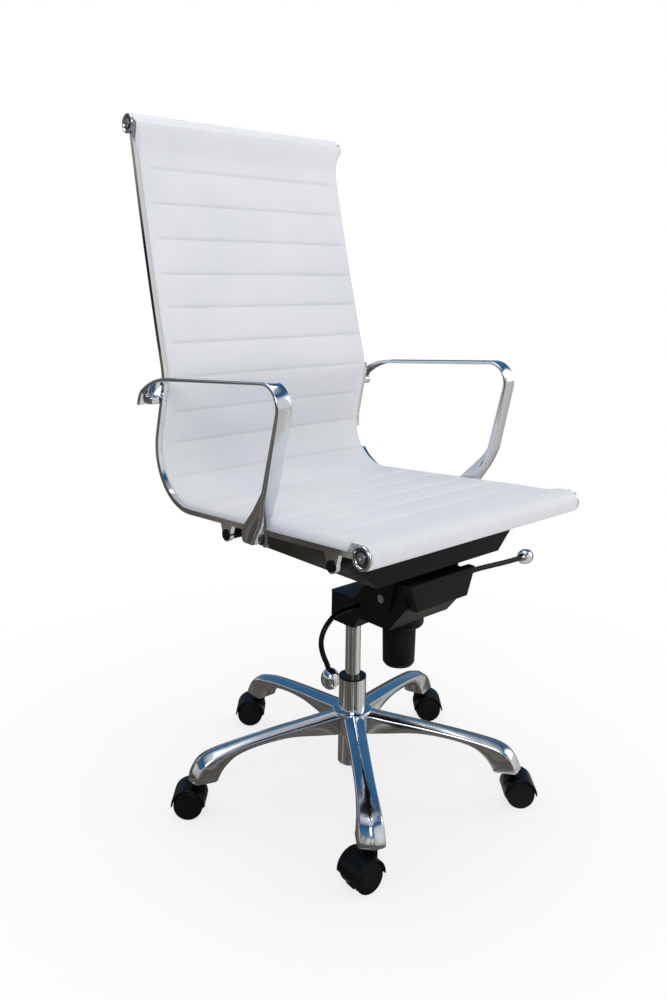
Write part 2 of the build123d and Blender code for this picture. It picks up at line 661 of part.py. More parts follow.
def seat_tray():
    """Pressed pan: flat floor, sloped wings up to the rails and a front wall."""
    rise = (TRAY_WING_HALF - TRAY_FLAT_HALF) * tan(radians(TRAY_SLOPE))
    low = [(-TRAY_WING_HALF, TRAY_BOTTOM + rise), (-TRAY_FLAT_HALF, TRAY_BOTTOM),
           (TRAY_FLAT_HALF, TRAY_BOTTOM), (TRAY_WING_HALF, TRAY_BOTTOM + rise)]
    up = TRAY_THICK * 1.25
    high = [(x, z + up) for x, z in reversed(low)]
    plane = Plane(origin=(0, TRAY_REAR, 0), x_dir=(1, 0, 0), z_dir=(0, -1, 0))
    tray = extrude(plane * Polygon(*low, *high, align=None), TRAY_REAR - TRAY_FRONT, dir=(0, -1, 0))
    wall_half = TRAY_FLAT_HALF + 31.0 / tan(radians(TRAY_SLOPE))
    wall = Polygon((-TRAY_FLAT_HALF, TRAY_BOTTOM), (TRAY_FLAT_HALF, TRAY_BOTTOM),
                   (wall_half, TRAY_BOTTOM + 31.0), (-wall_half, TRAY_BOTTOM + 31.0), align=None)
    front = Plane(origin=(0, TRAY_FRONT, 0), x_dir=(1, 0, 0), z_dir=(0, -1, 0))
    tray += extrude(front * wall, TRAY_THICK, dir=(0, 1, 0))
    for y, z in (CROSS_FRONT, CROSS_REAR):
        tray -= rod_x(CROSS_RADIUS, y, z, -RAIL_OUTER, RAIL_OUTER)
    for bolt in tray_bolt_list():
        tray -= bolt
    return tray


def tilt_cheek():
    """Right cheek plate of the tilt joint, hung under the tray, with the foot its bolts go through."""
    outline = Polygon((TILT_Y - 33.0, TRAY_BOTTOM), (TILT_Y + 55.0, TRAY_BOTTOM), (TILT_Y + 20.0, TILT_Z - 8.0),
                      (TILT_Y - 20.0, TILT_Z - 8.0), align=None)
    outline += Pos(TILT_Y, TILT_Z) * Circle(CHEEK_RADIUS)
    cheek = slab(outline, -CHEEK_X - CHEEK_THICK, -CHEEK_X)
    foot = Pos(-CHEEK_X - CHEEK_THICK - 18.0, TILT_Y + 11.0, TRAY_BOTTOM - CHEEK_THICK) * Box(
        18.0 + CHEEK_THICK, 80.0, CHEEK_THICK, align=(Align.MIN, Align.CENTER, Align.MIN))
    cheek += foot
    cheek -= rod_x(TILT_AXLE_RADIUS + RUN_GAP, TILT_Y, TILT_Z, -100, 0)
    for bolt in tray_bolt_list():
        cheek -= bolt
    return cheek


def tilt_cheeks():
    return Compound(both_sides(tilt_cheek()))


def tray_bolt_list():
    bolts = []
    for x in (-CHEEK_X - CHEEK_THICK - 9.0, CHEEK_X + CHEEK_THICK + 9.0):
        for y in (TILT_Y - 18.0, TILT_Y + 40.0):
            shank = rod_z(3.0, x, y, TRAY_BOTTOM - CHEEK_THICK, TRAY_BOTTOM + 9.0)
            head = rod_z(5.5, x, y, TRAY_BOTTOM - CHEEK_THICK - 3.5, TRAY_BOTTOM - CHEEK_THICK)
            bolts.append(shank + head)
    return bolts


def tray_bolts():
    return Compound(tray_bolt_list())


def sling():
    """Plain closed solid of the padded sling: seat and back in one, rolled round both tubes, hem in the grooves."""
    half = RAIL_OUTER - RAIL_WIDTH - CLEAR
    roll_half = RAIL_OUTER - BOSS_WIDTH - CLEAR
    tongue_half = RAIL_OUTER - RAIL_WIDTH + SLOT_DEPTH - CLEAR
    bead = SLOT_WIDTH / 2 - CLEAR
    body = slab(band(face_line(SLING_THICK), face_line()), -half, half)
    hem = band(frame_line(-bead), face_line(SLING_THICK / 2))
    tongue = band(frame_line(-bead), frame_line(bead))
    for side in (-1, 1):
        body += slab(hem, min(side * half, side * (half - 6.0)), max(side * half, side * (half - 6.0)))
        body += slab(tongue, min(side * tongue_half, side * (half - 3.0)), max(side * tongue_half, side * (half - 3.0)))
    for y, z in (FRONT_TUBE, TOP_TUBE):
        body += rod_x(ROLL_RADIUS, y, z, -roll_half, roll_half)
    for y, z in (FRONT_TUBE, TOP_TUBE):
        for x_from, x_to in ((-tongue_half, -roll_half), (roll_half, tongue_half)):
            body -= rod_x(BOSS_RADIUS + CLEAR, y, z, x_from, x_to)
        body -= rod_x(TUBE_RADIUS, y, z, -roll_half, roll_half)
    return body


# ---------------------------------------------------------------------------
# Arms
# ---------------------------------------------------------------------------

def arm_line(offset=0.0):
    """Line of an arm's bar in (y, z): up the front, along the top and down behind the rail."""
    run = (ARM_UPRIGHT_TOP[0] - ARM_FOOT_TOP[0], ARM_UPRIGHT_TOP[1] - ARM_FOOT_TOP[1])
    length = hypot(*run)
    side = (-run[1] / length * offset, run[0] / length * offset)
    upright = Line((ARM_FOOT_TOP[0] + side[0], ARM_FOOT_TOP[1] + side[1]),
                   (ARM_UPRIGHT_TOP[0] + side[0], ARM_UPRIGHT_TOP[1] + side[1]))
    heading = degrees(atan2(run[1], run[0]))
    front = JernArc(upright @ 1, upright % 1, ARM_FRONT_BEND + offset, -(heading + ARM_TOP_SLOPE))
    top = PolarLine(front @ 1, ARM_TOP_LENGTH, -ARM_TOP_SLOPE)
    rear = JernArc(top @ 1, top % 1, ARM_REAR_BEND + offset, -ARM_REAR_TURN)
    hook = JernArc(rear @ 1, rear % 1, ARM_HOOK_BEND + offset, ARM_REAR_TURN + ARM_TOP_SLOPE - 90.0)
    return Wire([upright.edge(), front.edge(), top.edge(), rear.edge(), hook.edge()])


def right_arm():
    inner = ARM_WIDTH - ARM_OUTER
    half = ARM_THICK / 2
    bar = slab(band(arm_line(-half), arm_line(half)), -ARM_OUTER, inner)
    long_edges = bar.edges().filter_by(lambda e: e.bounding_box().size.X < 0.01 and e.length > ARM_THICK + 0.5)
    bar = fillet(long_edges, 3.4)
    end = arm_line() @ 1
    pad = Polygon((end.X - 24.0, end.Y), (end.X + 2.0, end.Y), (end.X, end.Y + 12.0), (end.X - 8.0, end.Y + 24.0),
                  (end.X - 26.0, end.Y + 30.0), align=None)
    bar += slab(pad, 10.0 - ARM_OUTER, RAIL_WIDTH - RAIL_OUTER)
    y, z = ARM_FOOT_TOP
    foot_x = -RAIL_OUTER - 9.0
    base_z = z - ARM_FOOT_DROP
    sections = [
        Pos(inner - ARM_WIDTH / 2, y, z) * Rectangle(ARM_WIDTH - 1.0, ARM_THICK - 1.0),
        Pos(foot_x - 3.0, y + 17.0, z - 32.0) * Rectangle(24.0, 26.0),
        Pos(foot_x, ARM_FOOT_Y, base_z + ARM_FOOT_HEIGHT) * Rectangle(18.0, ARM_FOOT_LENGTH),
    ]
    bar += loft(sections)
    block = Pos(foot_x, ARM_FOOT_Y, base_z + ARM_FOOT_HEIGHT / 2) * Box(18.0, ARM_FOOT_LENGTH, ARM_FOOT_HEIGHT)
    lip_top = seat_height(ARM_FOOT_Y) - RAIL_DEPTH / 2
    bar += block
    bar += Pos(-RAIL_OUTER, ARM_FOOT_Y, base_z) * Box(
        RAIL_WIDTH, ARM_FOOT_LENGTH, lip_top - base_z, align=(Align.MIN, Align.CENTER, Align.MIN))
    bar -= slab(band(frame_line(-RAIL_DEPTH / 2), frame_line(RAIL_DEPTH / 2 + 40.0)), -RAIL_OUTER, 0)
    for bolt in arm_bolt_list():
        bar -= bolt
    return bar


def arm_bolt_list():
    """Right arm's bolts: two up into the seat rail and one forward into the back rail."""
    x = RAIL_WIDTH / 2 - RAIL_OUTER
    bolts = []
    for y in (ARM_FOOT_Y - 14.0, ARM_FOOT_Y + 14.0):
        bottom = ARM_FOOT_TOP[1] - ARM_FOOT_DROP
        bolts.append(rod_z(2.5, x, y, bottom, seat_height(y) - 2.0) + rod_z(5.0, x, y, bottom - 3.0, bottom))
    end = arm_line() @ 1
    plane = Plane(origin=(x, end.X - 22.0, end.Y + 9.0), x_dir=(1, 0, 0), z_dir=(0, 1, 0))
    face = 22.0 + 0.5
    bolts.append(extrude(plane * Circle(2.5), face) + extrude(plane.offset(face) * Circle(5.0), 3.0))
    return bolts


def arm_bolts():
    bolts = []
    for bolt in arm_bolt_list():
        bolts += both_sides(bolt)
    return Compound(bolts)


def main():
    pieces = {
        "star_base": star_base(),
        "caster_sleeves": caster_sleeves(),
        "column_outer_tube": column_outer_tube(),
        "column_guide_bush": column_guide_bush(),
        "thrust_washer": thrust_washer(),
        "piston_rod": piston_rod(),
        "rod_clip": rod_clip(),
        "gas_cylinder": gas_cylinder(),
        "valve_button": valve_button(),
        "mechanism_housing": mechanism_housing(),
        "housing_front_cover": housing_front_cover(),
        "spring_cup": spring_cup(),
        "tension_spring": tension_spring(),
        "tension_bolt": tension_bolt(),
        "tension_knob": tension_knob(),
        "tilt_axle": tilt_axle(),
        "height_lever": height_lever(),
        "height_lever_ball": height_lever_ball(),
        "lock_lever": lock_lever(),
        "lock_lever_bulb": lock_lever_bulb(),
        "top_cross_tube": cross_tube(TOP_TUBE),
        "front_cross_tube": cross_tube(FRONT_TUBE),
        "end_caps": end_caps(),
        "cap_screws": cap_screws(),
        "back_spreader": back_spreader(),
        "seat_cross_tubes": seat_cross_tubes(),
        "seat_tray": seat_tray(),
        "tilt_cheeks": tilt_cheeks(),
        "tray_bolts": tray_bolts(),
        "sling": sling(),
        "arm_bolts": arm_bolts(),
    }
    pieces["rail_right"], pieces["rail_left"] = both_sides(side_rail())
    pieces["arm_right"], pieces["arm_left"] = both_sides(right_arm())
    for i in range(LEG_COUNT):
        parts = {
            "hood": caster_hood(), "stem": caster_stem(), "axle": caster_axle(),
            "wheel_a": caster_wheel(1), "wheel_b": caster_wheel(-1),
        }
        for part, shape in parts.items():
            pieces[f"caster_{i + 1}_{part}"] = place_caster(i, shape)
    for name, shape in pieces.items():
        export_step(shape, f"parts/{name}.step")


main()
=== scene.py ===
import bmesh
import bpy
import json
import math
from mathutils import Matrix, Vector, noise


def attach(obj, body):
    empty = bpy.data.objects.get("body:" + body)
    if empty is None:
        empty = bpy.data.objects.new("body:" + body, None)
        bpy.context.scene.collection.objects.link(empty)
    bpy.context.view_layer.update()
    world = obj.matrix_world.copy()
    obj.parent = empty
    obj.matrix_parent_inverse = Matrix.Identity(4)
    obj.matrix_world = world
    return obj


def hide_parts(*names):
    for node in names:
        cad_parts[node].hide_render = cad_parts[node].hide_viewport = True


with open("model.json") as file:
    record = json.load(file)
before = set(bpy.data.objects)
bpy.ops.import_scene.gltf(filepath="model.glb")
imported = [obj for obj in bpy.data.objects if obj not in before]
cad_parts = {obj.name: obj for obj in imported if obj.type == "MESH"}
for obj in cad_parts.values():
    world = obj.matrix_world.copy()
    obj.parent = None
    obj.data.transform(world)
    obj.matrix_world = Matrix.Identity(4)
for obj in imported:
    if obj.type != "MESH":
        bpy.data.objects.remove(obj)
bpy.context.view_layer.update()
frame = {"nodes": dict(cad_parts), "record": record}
nodes = frame["nodes"]
MM = 0.001


# ---------------------------------------------------------------------------
# Colours and material nodes
# ---------------------------------------------------------------------------

def linear(code):
    """sRGB hex to linear RGBA."""
    out = []
    for i in (0, 2, 4):
        c = int(code[i:i + 2], 16) / 255.0
        out.append(c / 12.92 if c <= 0.04045 else ((c + 0.055) / 1.055) ** 2.4)
    return (*out, 1.0)


def start_material(name):
    """A new material with an empty node tree."""
    mat = bpy.data.materials.new(name)
    mat.use_nodes = True
    tree = mat.node_tree
    tree.nodes.clear()
    return mat, tree


def node(tree, kind, settings=None, **inputs):
    """Adds a node with its settings and inputs.

    An input is a value, or the output socket that feeds it. It is named by its label with underscores for
    spaces, or by its number, as i0.
    """
    n = tree.nodes.new(kind)
    for key, value in (settings or {}).items():
        setattr(n, key, value)
    for key, value in inputs.items():
        numbered = key[0] == "i" and key[1:].isdigit()
        socket = n.inputs[int(key[1:]) if numbered else key.replace("_", " ")]
        if isinstance(value, bpy.types.NodeSocket):
            tree.links.new(value, socket)
        else:
            socket.default_value = value
    return n


def finish_material(mat, tree, shader):
    """Connects the last shader to the material's output."""
    node(tree, "ShaderNodeOutputMaterial", Surface=shader.outputs[0])
    return mat


def place(tree):
    """The point of the surface, in metres from the column's foot."""
    return node(tree, "ShaderNodeTexCoord").outputs["Object"]


def ramp(tree, source, low, high, a, b):
    """Maps source from low..high to the values a..b."""
    mapped = node(tree, "ShaderNodeMapRange", Value=source, From_Min=low, From_Max=high, To_Min=a, To_Max=b)
    return mapped.outputs[0]


def colour_mix(tree, factor, a, b):
    """Mixes two colours; each is a hex value or the output socket that gives it."""
    a, b = (linear(c) if isinstance(c, str) else c for c in (a, b))
    return node(tree, "ShaderNodeMix", {"data_type": "RGBA"}, i0=factor, i6=a, i7=b).outputs[2]


def set_stops(ramp_node, table):
    """Fills a colour ramp from rows of (position, hex colour)."""
    stops = ramp_node.color_ramp
    while len(stops.elements) < len(table):
        stops.elements.new(0.5)
    for element, (pos, code) in zip(stops.elements, table):
        element.position = pos
        element.color = linear(code)


def metal(name, pale, dark, rough, rough_spread, wave, wave_mm, grain=0.0):
    """Bare or plated metal: base tint, smudged roughness and the slow waviness left by polishing."""
    mat, tree = start_material(name)
    at = place(tree)
    smudge = node(tree, "ShaderNodeTexNoise", Vector=at, Scale=28.0, Detail=4.0).outputs[0]
    tint = colour_mix(tree, smudge, dark, pale)
    roughness = ramp(tree, smudge, 0.35, 0.7, rough, rough + rough_spread)
    slow = node(tree, "ShaderNodeTexNoise", Vector=at, Scale=1000.0 / wave_mm, Detail=1.0).outputs[0]
    bump = node(tree, "ShaderNodeBump", Height=slow, Distance=wave * MM).outputs[0]
    if grain:
        fine = node(tree, "ShaderNodeTexNoise", Vector=at, Scale=900.0, Detail=2.0).outputs[0]
        bump = node(tree, "ShaderNodeBump", Height=fine, Distance=grain * MM, Normal=bump).outputs[0]
    shader = node(tree, "ShaderNodeBsdfPrincipled", Base_Color=tint, Metallic=1.0, Roughness=roughness,
                  Normal=bump)
    return finish_material(mat, tree, shader)


def moulded(name, colour, worn, rough, rough_spread, texture_mm, depth):
    """Moulded plastic or sprayed coat: spark-eroded texture or orange peel, with paler rubbed patches."""
    mat, tree = start_material(name)
    at = place(tree)
    patches = node(tree, "ShaderNodeTexNoise", Vector=at, Scale=14.0, Detail=5.0).outputs[0]
    tint = colour_mix(tree, ramp(tree, patches, 0.45, 0.75, 0.0, 1.0), colour, worn)
    roughness = ramp(tree, patches, 0.3, 0.7, rough, rough + rough_spread)
    peel = node(tree, "ShaderNodeTexNoise", Vector=at, Scale=1000.0 / texture_mm, Detail=3.0).outputs[0]
    bump = node(tree, "ShaderNodeBump", Height=peel, Distance=depth * MM).outputs[0]
    shader = node(tree, "ShaderNodeBsdfPrincipled", Base_Color=tint, Roughness=roughness, Normal=bump,
                  IOR=1.5, Specular_IOR_Level=0.16)
    return finish_material(mat, tree, shader)


def leatherette():
    """White PVC-coated cloth: pebble grain 1.6 mm across, creases, a slight sheen and a greying tint."""
    mat, tree = start_material("white_leatherette")
    at = place(tree)
    cloud = node(tree, "ShaderNodeTexNoise", Vector=at, Scale=7.0, Detail=3.0).outputs[0]
    tint = colour_mix(tree, ramp(tree, cloud, 0.3, 0.75, 0.0, 1.0), "DFE0E4", "D6D8DD")
    pebble = node(tree, "ShaderNodeTexVoronoi", {"feature": "SMOOTH_F1"}, Vector=at, Scale=620.0).outputs[0]
    crease = node(tree, "ShaderNodeTexNoise", Vector=at, Scale=160.0, Detail=5.0).outputs[0]
    bump = node(tree, "ShaderNodeBump", Height=pebble, Strength=0.5, Distance=0.25 * MM).outputs[0]
    bump = node(tree, "ShaderNodeBump", Height=crease, Strength=0.5, Distance=0.5 * MM, Normal=bump)
    roughness = ramp(tree, crease, 0.3, 0.7, 0.42, 0.56)
    shader = node(tree, "ShaderNodeBsdfPrincipled", Base_Color=tint, Roughness=roughness, IOR=1.47,
                  Normal=bump.outputs[0], Sheen_Weight=0.12, Sheen_Roughness=0.5)
    return finish_material(mat, tree, shader)


# Polished cast aluminium, buffed to a near mirror: the slow wave is what buffing leaves in a casting.
polished_base = metal("polished_cast_aluminium", "DCE0E6", "CDD2DA", 0.10, 0.08, 0.35, 38.0)
polished_arm = metal("polished_arm_aluminium", "E0E4E9", "D2D7DE", 0.08, 0.07, 0.12, 45.0)
# Chromium plate on drawn steel: a true mirror with a cool tint.
chrome_plate = metal("chrome_plate", "E6E8EC", "DADDE2", 0.04, 0.05, 0.05, 30.0)
chrome_ball = metal("chrome_ball_plate", "E6E8EC", "D8DBE0", 0.04, 0.06, 0.08, 20.0)
# Bright zinc on turned steel: greyer and duller than chromium.
zinc_steel = metal("zinc_plated_steel", "B9BCC0", "9DA1A6", 0.28, 0.14, 0.04, 12.0, 0.01)
# Spring steel left oiled: dark grey with a satin shine.
spring_steel = metal("oiled_spring_steel", "6F7174", "55575A", 0.32, 0.12, 0.05, 6.0)
# Free-cutting brass straight off the lathe: warm yellow, lightly smudged.
turned_brass = metal("turned_brass", "C9A860", "B4924C", 0.25, 0.12, 0.03, 8.0)
# Powder coat on pressed or cast steel: black, with orange peel about 2 mm across.
powder_black = moulded("black_powder_coat", "08090A", "101112", 0.36, 0.16, 2.2, 0.06)
# Baked enamel over a bent rod: smoother and glossier than powder.
lever_black = moulded("black_gloss_enamel", "08090A", "121314", 0.18, 0.14, 3.0, 0.03)
# ABS moulding with a fine spark-eroded texture.
cover_black = moulded("textured_black_abs", "0E0F10", "161718", 0.44, 0.14, 1.1, 0.05)
knob_black = moulded("knob_black_abs", "0B0C0D", "151617", 0.38, 0.16, 1.2, 0.05)
# Acetal, moulded in a polished tool: slick, with a soft highlight.
bush_black = moulded("black_acetal_bush", "0B0C0C", "141516", 0.26, 0.12, 1.5, 0.02)
# Nylon caster hoods and tyres: hood is glossier, tread is matt and scuffed.
hood_black = moulded("caster_nylon", "08090A", "121314", 0.28, 0.16, 1.6, 0.03)
tread_black = moulded("caster_tread_nylon", "0A0B0C", "17191A", 0.46, 0.2, 1.4, 0.06)
sling_white = leatherette()

FINISH = {
    "base": polished_base,
    "plastic_black": cover_black,
    "column_chrome": chrome_plate,
    "bush_black": bush_black,
    "steel": zinc_steel,
    "rail_chrome": chrome_plate,
    "arm_polished": polished_arm,
    "leather_white": sling_white,
    "mechanism_black": powder_black,
    "knob_black": knob_black,
    "lever_black": lever_black,
    "lever_chrome": chrome_ball,
    "tray_black": powder_black,
    "spring_steel": spring_steel,
    "caster_black": hood_black,
    "wheel_black": tread_black,
    "brass": turned_brass,
}


def dress(piece, material):
    piece.data.materials.clear()
    piece.data.materials.append(material)


for row in frame["record"]["subparts"]:
    dress(nodes[row["node"]], FINISH[row["material_slot"]])


# ---------------------------------------------------------------------------
# Shaping tools
# ---------------------------------------------------------------------------

def pick(test):
    """Selects the vertices of the open edit mode that pass a test of their place."""
    bpy.ops.mesh.select_all(action="DESELECT")
    mesh = bpy.context.object.data
    data = bmesh.from_edit_mesh(mesh)
    for v in data.verts:
        v.select_set(test(v.co))
    data.select_flush(True)
    bmesh.update_edit_mesh(mesh)


def outline(centre, tilt, width, height, corner, ridge):
    """One rounded outline standing across a piece; tilt turns it about the chair's x axis."""
    bpy.ops.object.select_all(action="DESELECT")
    bpy.ops.mesh.primitive_plane_add(size=1.0)
    one = bpy.context.object
    one.scale = (width * MM, (height - ridge) * MM, 1.0)
    bpy.ops.object.transform_apply(location=False, rotation=False, scale=True)
    bpy.ops.object.mode_set(mode="EDIT")
    bpy.context.tool_settings.mesh_select_mode = (True, False, False)
    if ridge:
        pick(lambda co: co.y > 0)
        bpy.ops.mesh.subdivide(number_cuts=1)
        pick(lambda co: co.y > 0 and abs(co.x) < 1e-6)
        bpy.ops.transform.translate(value=(0, ridge * MM, 0))
    bpy.ops.mesh.select_all(action="SELECT")
    bpy.ops.mesh.bevel(offset=corner * MM, offset_type="OFFSET", segments=4, affect="VERTICES")
    bpy.ops.mesh.select_all(action="SELECT")
    bpy.ops.mesh.delete(type="ONLY_FACE")
    bpy.ops.object.mode_set(mode="OBJECT")
    one.rotation_euler = (tilt, 0, 0)
    one.location = [c * MM for c in centre]
    return one


def loft(name, rings):
    """Rounded outlines one after another, joined and bridged into one closed skin."""
    made = []
    for k, ring in enumerate(rings):
        one = outline(*ring)
        one.vertex_groups.new(name=f"r{k}").add(range(len(one.data.vertices)), 1.0, "REPLACE")
        made.append(one)
    for one in made:
        one.select_set(True)
    bpy.context.view_layer.objects.active = made[0]
    bpy.ops.object.join()
    piece = bpy.context.object
    bpy.ops.object.transform_apply(location=True, rotation=True, scale=True)
    bpy.ops.object.mode_set(mode="EDIT")
    for k in range(len(rings) - 1):
        bpy.ops.mesh.select_all(action="DESELECT")
        for near in (k, k + 1):
            bpy.ops.object.vertex_group_set_active(group=f"r{near}")
            bpy.ops.object.vertex_group_select()
        bpy.ops.mesh.bridge_edge_loops()
    bpy.ops.mesh.select_all(action="SELECT")
    bpy.ops.mesh.fill_holes(sides=0)
    bpy.ops.mesh.normals_make_consistent(inside=False)
    bpy.ops.object.mode_set(mode="OBJECT")
    piece.vertex_groups.clear()
    piece.name = name
    return piece


def rounded(piece, width):
    """Bevels a piece's sharp edges."""
    bevel = piece.modifiers.new("edge", "BEVEL")
    bevel.width, bevel.segments = width * MM, 3
    bevel.limit_method, bevel.angle_limit = "ANGLE", math.radians(40.0)
    bpy.context.view_layer.objects.active = piece
    bpy.ops.object.modifier_apply(modifier=bevel.name)
    return piece


def block(low, high, edge):
    """A box between two corners, with its edges rounded."""
    bpy.ops.object.select_all(action="DESELECT")
    bpy.ops.mesh.primitive_cube_add(size=1.0, location=[(a + b) / 2 * MM for a, b in zip(low, high)])
    piece = bpy.context.object
    piece.scale = [(b - a) * MM for a, b in zip(low, high)]
    bpy.ops.object.transform_apply(location=True, rotation=True, scale=True)
    return rounded(piece, edge)


def barrel(centre, radius, length, vertices):
    """An upright round bar about a centre."""
    bpy.ops.object.select_all(action="DESELECT")
    bpy.ops.mesh.primitive_cylinder_add(vertices=vertices, radius=radius * MM, depth=length * MM,
                                        location=[c * MM for c in centre])
    piece = bpy.context.object
    bpy.ops.object.transform_apply(location=True, rotation=True, scale=True)
    return piece


def bored(piece, centre, radius, length):
    """Cuts an upright round hole."""
    cutter = barrel(centre, radius, length, 64)
    cut = piece.modifiers.new("bore", "BOOLEAN")
    cut.operation, cut.solver, cut.object = "DIFFERENCE", "EXACT", cutter
    bpy.ops.object.select_all(action="DESELECT")
    bpy.context.view_layer.objects.active = piece
    bpy.ops.object.modifier_apply(modifier=cut.name)
    bpy.data.objects.remove(cutter)
    return piece


def joined(name, pieces):
    """Several pieces made one."""
    bpy.ops.object.select_all(action="DESELECT")
    for piece in pieces:
        piece.select_set(True)
    bpy.context.view_layer.objects.active = pieces[0]
    bpy.ops.object.join()
    pieces[0].name = name
    return pieces[0]


def placed_copy(piece, turn=0.0, mirror=1):
    """A copy with its own mesh, turned about the column's axis or, with mirror -1, on the other side."""
    bpy.ops.object.select_all(action="DESELECT")
    piece.select_set(True)
    bpy.context.view_layer.objects.active = piece
    bpy.ops.object.duplicate()
    copy = bpy.context.object
    copy.rotation_euler = (0, 0, turn)
    copy.scale = (mirror, 1, 1)
    bpy.ops.object.transform_apply(location=True, rotation=True, scale=True)
    return copy


def mirrored_copy(piece, name):
    """A copy on the chair's other side, with its faces turned outwards again."""
    copy = placed_copy(piece, mirror=-1)
    bpy.ops.object.mode_set(mode="EDIT")
    bpy.ops.mesh.select_all(action="SELECT")
    bpy.ops.mesh.normals_make_consistent(inside=False)
    bpy.ops.object.mode_set(mode="OBJECT")
    copy.name = name
    return copy


def fit(piece, body, node_name, material, angle=35.0):
    """Finishes a piece: smooth shading, material, the body it moves with and the node it stands for."""
    piece.data.shade_smooth()
    piece.data.set_sharp_from_angle(angle=math.radians(angle))
    dress(piece, material)
    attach(piece, body)
    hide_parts(node_name)
    return piece


def ease(t):
    """Smooth step from 0 to 1."""
    t = min(1.0, max(0.0, t))
    return t * t * (3 - 2 * t)


def walk(s, start, heading, runs):
    """Point (y, z) and heading, s mm along a line of straight runs and bends.

    Each run is (length, radius); a straight run's radius is None, and a bend to the left has a positive one.
    """
    y, z = start
    for length, bend in runs:
        step = min(s, length)
        if bend is None:
            y, z = y + step * math.cos(heading), z + step * math.sin(heading)
        else:
            after = heading + step / bend
            y += bend * (math.sin(after) - math.sin(heading))
            z -= bend * (math.cos(after) - math.cos(heading))
            heading = after
        s -= step
        if s <= 0:
            break
    return y, z, heading


def between(table, t):
    """Smooth values between the rows of a table, t counted in rows (Catmull-Rom)."""
    k = min(int(t), len(table) - 2)
    u = t - k
    rows = [table[max(0, k - 1)], table[k], table[k + 1], table[min(len(table) - 1, k + 2)]]
    out = []
    for a, b, c, d in zip(*rows):
        cubic = 2 * a - 5 * b + 4 * c - d + u * (3 * (b - c) + d - a)
        out.append(b + 0.5 * u * (c - a + u * cubic))
    return out


# ---------------------------------------------------------------------------
# Arms: one polished blade from the foot up, along and down behind the rail
# ---------------------------------------------------------------------------

ARM_X = -271.5                       # middle of the blade
ARM_WIDTH = 29.0
ARM_START = (-95.5, 600.0)           # y, z where the blade leaves its foot
ARM_RISE = math.radians(103.8)       # its heading there
# post, bend to the armrest, armrest, bend down behind the rail, hook
ARM_RUNS = ((125.63, None), (36 * math.radians(108.1), -36.0), (268.0, None),
            (150 * math.radians(30), -150.0), (34 * math.radians(55.7), -34.0))
ARM_LENGTH = sum(length for length, _bend in ARM_RUNS)
FOOT_RINGS = 29
ARM_FOOT = (
    # x, y, z of the middle, width, thickness, corner, from the rail up
    (-261.0, -37.0, 506.4, 14.0, 22.0, 3.0), (-261.0, -37.0, 508.5, 17.5, 28.0, 3.6),
    (-261.0, -37.5, 516.0, 18.4, 34.0, 4.0), (-261.8, -44.5, 532.0, 19.5, 41.0, 4.4),
    (-263.6, -57.0, 547.0, 22.0, 37.0, 4.8), (-266.4, -70.5, 563.0, 25.0, 27.5, 4.8),
    (-269.6, -82.0, 579.0, 27.8, 18.0, 4.6), (-271.2, -90.4, 592.0, 28.8, 12.6, 4.2),
)


def arm_thickness(s):
    """The blade is thickest at the foot, thins up the post, and thickens a little at the hook's end."""
    return 6.2 + 4.0 * (1 - ease(s / 165.0)) + 0.8 * ease((s - ARM_LENGTH + 60.0) / 60.0)


def arm_cuts():
    """Where along the blade its outline is drawn: every 15 mm up the post, closer in the bends."""
    cuts = [2.0 + 15.0 * k for k in range(9)]
    start = ARM_RUNS[0][0]
    for (length, _bend), count in zip(ARM_RUNS[1:], (14, 10, 10, 8)):
        cuts += [start + length * k / count for k in range(count)]
        start += length
    return cuts + [start]


def make_arm():
    """The right arm: foot, blade, and the pad between its hook and the rail."""
    rings = []
    for k in range(FOOT_RINGS):
        x, y, z, wide, thick, corner = between(ARM_FOOT, k / (FOOT_RINGS - 1) * (len(ARM_FOOT) - 1))
        lean = math.pi + math.radians(13.8 * ease((z - 540) / 52.0))
        rings.append(((x, y, z), lean, wide, thick, corner, 0.0))
    for s in arm_cuts():
        y, z, heading = walk(s, ARM_START, ARM_RISE, ARM_RUNS)
        thick = arm_thickness(s)
        corner = min(thick * 0.42, 3.6)
        rings.append(((ARM_X, y, z), heading + math.pi / 2, ARM_WIDTH, thick, corner, 0.0))
    blade = loft("arm_blade", rings)
    y, z, _heading = walk(ARM_LENGTH, ARM_START, ARM_RISE, ARM_RUNS)
    pad = block((-274.0, y - 24.0, z + 1.5), (-252.0, y - 1.0, z + 16.0), 4.0)
    return joined("arm_blade_right", [blade, pad])


right_arm = make_arm()
left_arm = mirrored_copy(right_arm, "arm_blade_left")
fit(right_arm, "seat", "arm_right", polished_arm)
fit(left_arm, "seat", "arm_left", polished_arm)


# ---------------------------------------------------------------------------
# Star base: five ridged legs with bell ends, round a turned hub
# ---------------------------------------------------------------------------

LEG_STATIONS = (
    # ridge's radius and height, underside's radius and height, half width, ridge over the side edges, corner
    (30.0, 139.4, 30.0, 100.2, 18.4, 5.0, 3.0), (42.0, 138.5, 40.0, 101.0, 18.2, 5.0, 3.0),
    (70.0, 135.0, 70.0, 104.8, 17.6, 5.0, 3.0), (125.0, 129.2, 125.0, 111.4, 16.8, 4.6, 3.0),
    (185.0, 121.8, 182.0, 108.0, 16.6, 4.4, 3.0), (232.0, 114.6, 222.0, 99.0, 17.4, 4.8, 3.2),
    (268.0, 107.0, 243.0, 85.0, 19.0, 6.0, 3.6), (289.0, 97.0, 252.0, 74.5, 20.6, 7.0, 4.2),
    (301.0, 81.0, 256.5, 67.5, 21.8, 8.0, 4.6), (306.5, 66.0, 258.0, 64.5, 22.6, 8.0, 4.6),
    (304.0, 62.0, 260.5, 62.0, 20.8, 7.0, 4.2),
)
LEG_RINGS = 45
LEG_HEADINGS = [-127.4 + 72.0 * i for i in range(5)]
